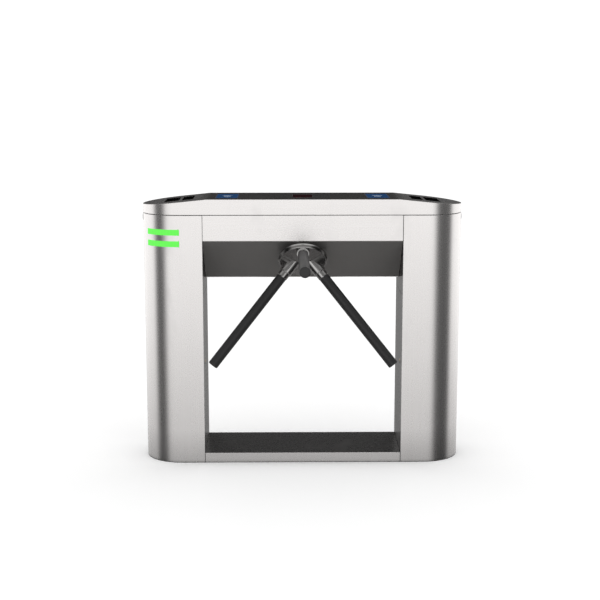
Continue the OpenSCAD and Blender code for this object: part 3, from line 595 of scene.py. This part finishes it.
def on_cover(x):
    """Frame on the cover's top face at x: level in the middle, along the slope past it."""
    drop = max(0.0, abs(x) - COVER_FLAT) * COVER_SLOPE
    lean = math.copysign(math.atan(COVER_SLOPE), x) if abs(x) > COVER_FLAT else 0.0
    return shift(x, 0.0, cad_high.z - TOP_PROUD - drop) @ Matrix.Rotation(lean, 4, "Y")


def plain_paint(name, colour, rough, metal=0.0):
    """Small painted or plated parts: a little uneven in colour and sheen."""
    s = Shader(name)
    fade = s.noise(160, (1, 1, 1), 3.0, 0.6)
    base = s.mix(fade, tuple(0.86 * c for c in colour), tuple(min(1.0, 1.12 * c) for c in colour))
    roughness = s.spread(fade, 0.3, 0.7, rough - 0.05, rough + 0.07)
    normal = s.bump(fade, 0.08, 0.0002)
    return s.done(s.surface(Base_Color=base, Metallic=metal, Roughness=roughness, Normal=normal))


COVER_FLAT = 0.355  # half length of the cover's level middle
COVER_SLOPE = 0.025 / (0.600 - COVER_FLAT)
TOP_PROUD = 0.3 * MM  # how far the cover's insets stand above it
FRONT_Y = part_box("header_front_panel")[0][1]
REAR_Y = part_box("header_rear_panel")[1][1]
SEAM_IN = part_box("header_front_panel")[1][0]
SEAM_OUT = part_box("right_pillar_shell")[0][0]
RUBBER = LOOKS["gasket_rubber"]


# ---------------------------------------------------------------- seams and foot: strips of painted shade


def seam_shade_strips():
    """Black strips in the upright seams, set a little behind the sheets' faces: painted shade that darkens the seams.
    """
    recess = 0.3 * MM
    depth = 2.5 * MM
    spans = [
        (FRONT_Y + recess + depth / 2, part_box("header_front_panel")[0][2]),
        (REAR_Y - recess - depth / 2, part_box("header_rear_panel")[0][2]),
    ]
    rail_low, rail_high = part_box("floor_rail")
    bm = bmesh.new()
    outline = rounded_rectangle(SEAM_OUT - SEAM_IN, depth, 0.3 * MM, 2)
    for side in (-1, 1):
        x = side * (SEAM_IN + SEAM_OUT) / 2
        for y, bottom in spans:
            add_prism(bm, outline, shift(x, y, bottom), BODY_TOP - bottom)
            add_prism(bm, outline, shift(x, y, rail_low[2]), rail_high[2] - rail_low[2])
    new_piece("seam_shade_strips", bm, RUBBER, "cabinet")


def foot_shade_bead():
    """A black bead in the gap between the shells' feet and the floor: painted shade along the foot."""
    radius = REAR_Y - 1.6 * MM
    centre = END_CENTRE
    half_high, half_wide = 0.97 * MM, 1.3 * MM
    steps, sides = 48, 8
    bm = bmesh.new()
    rings = []
    for end in (1, -1):
        for i in range(steps + 1):
            angle = math.pi * (i / steps - 0.5) + (0.0 if end > 0 else math.pi)
            out = Vector((math.cos(angle), math.sin(angle), 0))
            middle = Vector((end * centre, 0, 1.0 * MM)) + out * radius
            ring = []
            for k in range(sides):
                a = 2 * math.pi * k / sides
                rise = Vector((0, 0, half_high * math.sin(a)))
                ring.append(bm.verts.new(middle + out * half_wide * math.cos(a) + rise))
            rings.append(ring)
    for one, two in zip(rings, rings[1:] + rings[:1]):
        for k in range(sides):
            m = (k + 1) % sides
            bm.faces.new((one[k], two[k], two[m], one[m]))
    new_piece("foot_shade_bead", bm, RUBBER, "cabinet")


# ---------------------------------------------------------------- cover: icons, digits, lamps, scanner


def reader_icons():
    """A card below three waves on each reader pad, and a rim round the pad."""
    pale = plain_paint("icon_white", (0.40, 0.50, 0.62), 0.5)
    rim = plain_paint("pad_rim", (0.024, 0.035, 0.080), 0.45)
    thick = 0.12 * MM
    icons, rims = bmesh.new(), bmesh.new()
    for side in (-1, 1):
        top = on_cover(side * 0.282) @ shift(z=TOP_PROUD)
        card = rounded_rectangle(24 * MM, 15 * MM, 2.5 * MM)
        gap = rounded_rectangle(19 * MM, 10 * MM, 1.2 * MM)
        add_prism(icons, card, top @ shift(y=-26 * MM), thick, gap)
        add_prism(icons, rounded_rectangle(13 * MM, 2.4 * MM, 0.6 * MM), top @ shift(y=-26 * MM), thick)
        for i in range(3):
            add_prism(icons, arc_band((12 + 9 * i) * MM, 4.2 * MM, 52, 128), top @ shift(y=-16 * MM), thick)
        wide, deep = 83.4 * MM, 169.4 * MM
        frame_out = rounded_rectangle(wide, deep, 2.0 * MM)
        frame_in = rounded_rectangle(wide - 6 * MM, deep - 12 * MM, 1.0 * MM)
        add_prism(rims, frame_out, top, thick, frame_in)
    new_piece("reader_icons", icons, pale, "top_cover")
    new_piece("reader_rims", rims, rim, "top_cover")


def digit_segments():
    """Seven-segment digits on the counter board, lit and unlit, under the red window."""
    lit_look = glowing("lit_segment", (1.0, 0.06, 0.03), 5.0)
    dark_look = plain_paint("unlit_segment", (0.05, 0.028, 0.028), 0.5)
    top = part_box("counter_board")[1][2]
    length, width, thick = 6.4 * MM, 1.5 * MM, 0.5 * MM
    tip = width / 2
    bar = [
        (-length / 2, 0),
        (-length / 2 + tip, -tip),
        (length / 2 - tip, -tip),
        (length / 2, 0),
        (length / 2 - tip, tip),
        (-length / 2 + tip, tip),
    ]
    half = length / 2 + 0.25 * MM
    places = {
        "a": (0, 2 * half, 0),
        "b": (half, half, 90),
        "c": (half, -half, 90),
        "d": (0, -2 * half, 0),
        "e": (-half, -half, 90),
        "f": (-half, half, 90),
        "g": (0, 0, 0),
    }
    digits = {"0": "abcdef", "1": "bc", "2": "abdeg", "4": "bcfg", "7": "abc"}
    lit, dark = bmesh.new(), bmesh.new()
    for i, digit in enumerate("0274"):
        x = (i - 1.5) * 16 * MM
        for segment, (sx, sy, angle) in places.items():
            lean = shift(x + sx + 0.14 * sy, sy, top) @ Matrix.Rotation(math.radians(angle), 4, "Z")
            add_prism(lit if segment in digits[digit] else dark, bar, lean, thick)
        dot = shift(x + 6.0 * MM, -2 * half, top)
        add_turned(dark, [(0, 0), (0.8 * MM, 0), (0.8 * MM, thick), (0, thick)], dot, 16)
    new_piece("lit_digit_segments", lit, lit_look, "top_cover")
    new_piece("unlit_digit_segments", dark, dark_look, "top_cover")


def dome(radius, height, steps=5):
    """Profile of a round-topped lamp."""
    curve = [(radius * math.cos(math.pi / 2 * i / steps), height * math.sin(math.pi / 2 * i / steps)) for i in range(steps)]
    return [(0, 0)] + curve + [(0, height)]


def indicator_lamps():
    """A field of small lamps under each indicator window, in the shape of an arrow and a bar."""
    clear = plain_paint("lamp_epoxy", (0.55, 0.58, 0.52), 0.25)
    bm = bmesh.new()
    pitch = 3.6 * MM
    board_top = -5.0 * MM
    for side in (-1, 1):
        base = on_cover(side * 0.429) @ shift(z=board_top)
        for row in range(-10, 11):
            reach = 3 if -3 <= row else 1
            if row > 0:
                reach = max(0, 3 - row // 3)
            for column in range(-reach, reach + 1):
                add_turned(bm, dome(1.1 * MM, 0.9 * MM, 3), base @ shift(column * pitch, row * pitch), 10)
    new_piece("indicator_lamps", bm, clear, "top_cover")


def scanner_lenses():
    """A camera lens with two lamps beside it under each scanner window."""
    bm, glass = bmesh.new(), bmesh.new()
    ring = [(9, 0), (9, 0.8), (8.2, 1.2), (6.4, 1.2), (5.6, 0.4), (5.6, 0)]
    for side in (-1, 1):
        base = on_cover(side * 0.488) @ shift(z=-5.0 * MM)
        add_turned(bm, [(r * MM, z * MM) for r, z in ring], base)
        add_turned(glass, dome(5.4 * MM, 1.0 * MM, 6), base)
        for y in (-22, 22):
            add_turned(bm, [(r * MM * 0.5, z * MM) for r, z in ring], base @ shift(y=y * MM), 20)
            add_turned(glass, dome(2.6 * MM, 0.9 * MM, 4), base @ shift(y=y * MM), 16)
    new_piece("scanner_lens_rings", bm, LOOKS["machined_steel"], "top_cover")
    new_piece("scanner_lenses", glass, gloss("lens_glass", (0.01, 0.012, 0.03), 0.04, 0.04), "top_cover")


# ---------------------------------------------------------------- screws and locks


def add_screw(bm, place, radius, height):
    """A domed screw head with a hexagon socket."""
    steps = 24
    turns = [2 * math.pi * i / steps for i in range(steps)]
    hexagon = []
    for a in turns:
        local = (a % (math.pi / 3)) - math.pi / 6
        hexagon.append(0.42 * radius * math.cos(math.pi / 6) / math.cos(local))

    def ring(reach, z):
        return [bm.verts.new(place @ Vector((r * math.cos(a), r * math.sin(a), z))) for r, a in zip(reach, turns)]

    rims = [
        ring([radius] * steps, 0.0),
        ring([radius] * steps, 0.35 * height),
        ring([0.86 * radius] * steps, 0.8 * height),
        ring([0.62 * radius] * steps, height),
        ring(hexagon, height),
        ring(hexagon, 0.35 * height),
    ]
    for one, two in zip(rims, rims[1:]):
        for i in range(steps):
            j = (i + 1) % steps
            bm.faces.new((one[i], one[j], two[j], two[i]))
    bm.faces.new(rims[0][::-1])
    bm.faces.new(rims[-1])


def hinge_screws():
    """Four screws in every hinge plate."""
    back = turned_to((0, 1, 0))
    for node, name, body in (
        ("lid_hinge_leaves", "hinge_leaf_screws", "cabinet"),
        ("lid_hinge_straps", "hinge_strap_screws", "top_cover"),
    ):
        low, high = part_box(node)
        middle = (low[2] + high[2]) / 2
        bm = bmesh.new()
        for x in (-0.340, 0.0, 0.340):
            for dx in (-20 * MM, 20 * MM):
                for dz in (-8 * MM, 8 * MM):
                    add_screw(bm, shift(x + dx, REAR_Y + 2.1 * MM, middle + dz) @ back, 3.8 * MM, 1.9 * MM)
        new_piece(name, bm, LOOKS["zinc_steel"], body)


def lock_rims():
    """A pressed ring round each lock head, and a brass ring round its key slot."""
    brass = plain_paint("lock_brass", (0.52, 0.36, 0.13), 0.32, 1.0)
    rim = [(11.3, 0), (14.0, 0), (14.0, 0.5), (13.2, 1.1), (11.9, 1.1), (11.3, 0.8)]
    plug = [(4.6, 0.0), (5.6, 0.0), (5.6, 0.15), (5.3, 0.3), (4.6, 0.3)]
    joints = {row["child"]: row for row in frame["record"]["behaviour"]["joints"]}
    for side, word in ((-1, "left"), (1, "right")):
        for node, body, under, out in (
            (f"{word}_lid_lock", f"lid_lock_{word}", "cabinet", side),
            (f"{word}_door_lock", f"door_lock_{word}", f"door_{word}", -side),
        ):
            low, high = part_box(node)
            face = high[0] if out > 0 else low[0]
            y, z = joints[body]["pos_m"][1:]
            look = turned_to((out, 0, 0))
            ring, key = bmesh.new(), bmesh.new()
            at_sheet = shift(face - out * 1.5 * MM, y, z) @ look
            add_turned(ring, [(r * MM, h * MM) for r, h in rim], at_sheet, 48)
            add_turned(key, [(r * MM, h * MM) for r, h in plug], shift(face, y, z) @ look, 32)
            new_piece(f"{node}_rim", ring, LOOKS["chrome"], under)
            new_piece(f"{node}_key_ring", key, brass, body)


# ---------------------------------------------------------------- inside: boards, wires, ties


def light_board_lamps():
    """Lamp chips on the curved light board, one row behind each bar."""
    white = plain_paint("lamp_chip", (0.75, 0.75, 0.62), 0.4)
    low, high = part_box("status_light_bars")
    bar_height = 21.5 * MM
    radius = REAR_Y - 8.0 * MM
    bm = bmesh.new()
    outline = rounded_rectangle(3.6 * MM, 3.6 * MM, 0.5 * MM, 2)
    for z in (low[2] + bar_height / 2, high[2] - bar_height / 2):
        for i in range(10):
            angle = math.radians(-94 - 5.3 * i)
            out = Vector((math.cos(angle), math.sin(angle), 0))
            spot = Vector((-END_CENTRE, 0, z)) + out * radius
            add_prism(bm, outline, shift(*spot) @ turned_to(out), 1.4 * MM)
    new_piece("light_board_lamps", bm, white, "cabinet")


def board_parts():
    """Chips, their tinned ends, and terminal screws on the control board and the power supply."""
    tin = plain_paint("tin", (0.62, 0.62, 0.60), 0.35, 1.0)
    low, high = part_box("control_board")
    front = turned_to((0, -1, 0))
    face = high[1] - 11 * MM - 1.4 * MM
    bodies, ends = bmesh.new(), bmesh.new()
    for row in range(6):
        for column in range(5):
            x = low[0] + (10 + 9 * column) * MM
            z = low[2] + (28 + 9 * row) * MM
            spot = shift(x, face, z) @ front
            add_prism(bodies, rounded_rectangle(2.2 * MM, 1.7 * MM, 0.2 * MM, 1), spot, 0.9 * MM)
            for dx in (-1.45 * MM, 1.45 * MM):
                end = rounded_rectangle(0.6 * MM, 1.7 * MM, 0.1 * MM, 1)
                add_prism(ends, end, spot @ shift(x=dx), 0.8 * MM)
    new_piece("board_chips", bodies, LOOKS["black_plastic"], "cabinet")
    new_piece("board_chip_ends", ends, tin, "cabinet")
    screws = bmesh.new()
    for i in range(6):
        spot = (low[0] + (19.5 + 22 * i) * MM, face - 12 * MM, low[2] + 10 * MM)
        add_screw(screws, shift(*spot) @ front, 3.4 * MM, 1.2 * MM)
    low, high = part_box("power_supply")
    for i in range(7):
        spot = (high[0] - 7 * MM, low[1] + 8 * MM, low[2] + (16 + 11 * i) * MM)
        add_screw(screws, shift(*spot) @ front, 3.0 * MM, 1.2 * MM)
    new_piece("terminal_screws", screws, LOOKS["zinc_steel"], "cabinet")


def signal_wires():
    """Coloured wires from the terminal blocks into the mouth of the wiring harness."""
    low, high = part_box("control_board")
    colours = {
        "red": (0.45, 0.02, 0.02),
        "black": (0.02, 0.02, 0.02),
        "blue": (0.02, 0.06, 0.35),
        "green": (0.02, 0.20, 0.05),
        "yellow": (0.55, 0.40, 0.03),
        "white": (0.60, 0.60, 0.58),
    }
    mouth = Vector((low[0] + 30 * MM, 0.104, low[2] - 4 * MM))
    for i, (word, colour) in enumerate(colours.items()):
        start = Vector((low[0] + (19.5 + 22 * i) * MM, high[1] - 20 * MM, low[2] + 4 * MM))
        a = 2 * math.pi * i / len(colours)
        end = mouth + Vector((3.6 * MM * math.cos(a), 3.6 * MM * math.sin(a), 0))
        curve = bpy.data.curves.new(f"{word}_wire", "CURVE")
        curve.dimensions = "3D"
        curve.bevel_depth = 1.1 * MM
        curve.bevel_resolution = 3
        curve.use_fill_caps = True
        line = curve.splines.new("BEZIER")
        line.bezier_points.add(1)
        drop = Vector((0, 0, -14 * MM))
        for point, spot, before, after in (
            (line.bezier_points[0], start, -drop, drop),
            (line.bezier_points[1], end, -drop, drop),
        ):
            point.co = spot
            point.handle_left = spot + before
            point.handle_right = spot + after
        curve.materials.append(plain_paint(f"{word}_insulation", colour, 0.45))
        wire = bpy.data.objects.new(f"{word}_wire", curve)
        scene.collection.objects.link(wire)
        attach(wire, "cabinet")


def cable_ties():
    """Ties round the upright run of the harness, each with its lock head."""
    x, y = -0.430, 0.060
    bm = bmesh.new()
    band = [(7.1, -1.8), (8.2, -1.8), (8.2, 1.8), (7.1, 1.8)]
    for z in (0.12, 0.24, 0.36, 0.48, 0.60):
        add_turned(bm, [(r * MM, h * MM) for r, h in band], shift(x, y, z), 32)
        head = shift(x, y - 7.6 * MM, z - 2.6 * MM)
        add_prism(bm, rounded_rectangle(5.4 * MM, 4.2 * MM, 0.8 * MM, 3), head, 5.2 * MM)
    new_piece("cable_ties", bm, LOOKS["black_plastic"], "cabinet")


seam_shade_strips()
foot_shade_bead()
reader_icons()
digit_segments()
indicator_lamps()
scanner_lenses()
hinge_screws()
lock_rims()
light_board_lamps()
board_parts()
signal_wires()
cable_ties()


# ---------------------------------------------------------------- studio


def studio_world():
    """White for the camera, a soft white dome for matt surfaces, and for shiny ones a studio with dark flats."""
    world = bpy.data.worlds.new("studio")
    scene.world = world
    world.use_nodes = True
    s = Shader.__new__(Shader)
    s.tree = world.node_tree
    s.tree.nodes.clear()
    s.place = None
    direction = s.node("SeparateXYZ", {0: s.node("TexCoord").outputs["Generated"]}).outputs
    x, y, z = direction[0], direction[1], direction[2]
    turn = s.math("MULTIPLY", s.math("ARCTAN2", x, s.math("MULTIPLY", y, -1.0)), math.degrees(1))
    rise = s.math("MULTIPLY", s.math("ARCSINE", z), math.degrees(1))

    def near(value, centre, half, soft):
        away = s.math("ABSOLUTE", s.math("SUBTRACT", value, centre))
        return s.spread(away, half - soft, half + soft, 1.0, 0.0, smooth=True)

    # the walls fall off towards the floor, which is lit again further in and dark right below
    tone = s.spread(rise, -23.5, -7.2, 0.22, 1.53, smooth=True)
    tone = s.math("ADD", tone, s.math("MULTIPLY", near(rise, -47.0, 14.0, 6.0), 0.62))
    tone = s.math("MULTIPLY", tone, s.spread(rise, -80.0, -60.0, 0.60, 1.0, smooth=True))
    # above them a dark band, then a soft box overhead
    walls = s.spread(rise, 12.0, 24.0, 1.0, 0.2, smooth=True)
    overhead = s.spread(rise, 33.0, 62.0, 0.0, 0.5, smooth=True)
    tone = s.math("MULTIPLY", tone, s.math("ADD", walls, overhead))
    sides = s.spread(s.math("ABSOLUTE", turn), 75.0, 110.0, 1.0, 0.97, smooth=True)
    tone = s.math("MULTIPLY", tone, sides)
    # a dark flat on each side of the front
    flats = s.math("MAXIMUM", near(turn, -64.5, 18.5, 9.0), near(turn, 61.5, 28.5, 9.0))
    flats = s.math("MULTIPLY", flats, near(rise, 0.0, 38.0, 12.0))
    tone = s.math("MULTIPLY", tone, s.spread(flats, 0.0, 1.0, 1.0, 0.09))
    # a dim room behind
    behind = s.math("SUBTRACT", 180.0, s.math("ABSOLUTE", turn))
    back = s.spread(behind, 9.0, 28.0, 1.0, 0.0, smooth=True)
    back = s.math("MULTIPLY", back, s.spread(rise, 45.0, 75.0, 1.0, 0.0, smooth=True))
    back_tone = s.spread(rise, -4.0, 2.0, 0.27, 0.03, smooth=True)
    tone = s.node("Mix", {0: back, 2: tone, 3: back_tone}, data_type="FLOAT").outputs[0]

    rays = s.node("LightPath").outputs
    studio = s.node("CombineColor", {0: tone, 1: s.math("MULTIPLY", tone, 0.993), 2: s.math("MULTIPLY", tone, 0.985)})
    shiny = s.node("Background", {"Color": studio.outputs[0], "Strength": 1.0}).outputs[0]
    plain = s.node("Background", {"Color": (1, 1, 1), "Strength": 1.10}).outputs[0]
    chosen = s.node("MixShader", {0: rays["Is Glossy Ray"], 1: plain, 2: shiny}).outputs[0]
    leave = s.node("OutputWorld")
    s.tree.links.new(chosen, leave.inputs["Surface"])


def studio_floor():
    size = 30.0
    bm = bmesh.new()
    corners = [bm.verts.new((sx * size, sy * size, 0.0)) for sx, sy in ((-1, -1), (1, -1), (1, 1), (-1, 1))]
    bm.faces.new(corners)
    mesh = bpy.data.meshes.new("studio_floor")
    bm.to_mesh(mesh)
    bm.free()
    floor = bpy.data.objects.new("studio_floor", mesh)
    scene.collection.objects.link(floor)
    s = Shader("floor_white")
    speck = s.noise(3.0, (1, 1, 1), 2.0, 0.5)
    base = s.mix(speck, (0.985, 0.985, 0.985), (0.995, 0.995, 0.995))
    mesh.materials.append(s.done(s.surface(Base_Color=base, Roughness=0.9, Specular_IOR_Level=0.0)))
    floor.visible_glossy = False


def studio_camera():
    lens = bpy.data.cameras.new("camera")
    lens.lens = 75.3
    lens.sensor_width = 36.0
    camera = bpy.data.objects.new("camera", lens)
    camera.location = (-0.0698, -4.7283, 1.4423)
    camera.rotation_euler = (math.pi / 2 - 0.176, 0.0, -0.0129)
    scene.collection.objects.link(camera)
    scene.camera = camera


studio_world()
studio_floor()
studio_camera()
scene.view_settings.view_transform = "Standard"
scene.view_settings.look = "None"
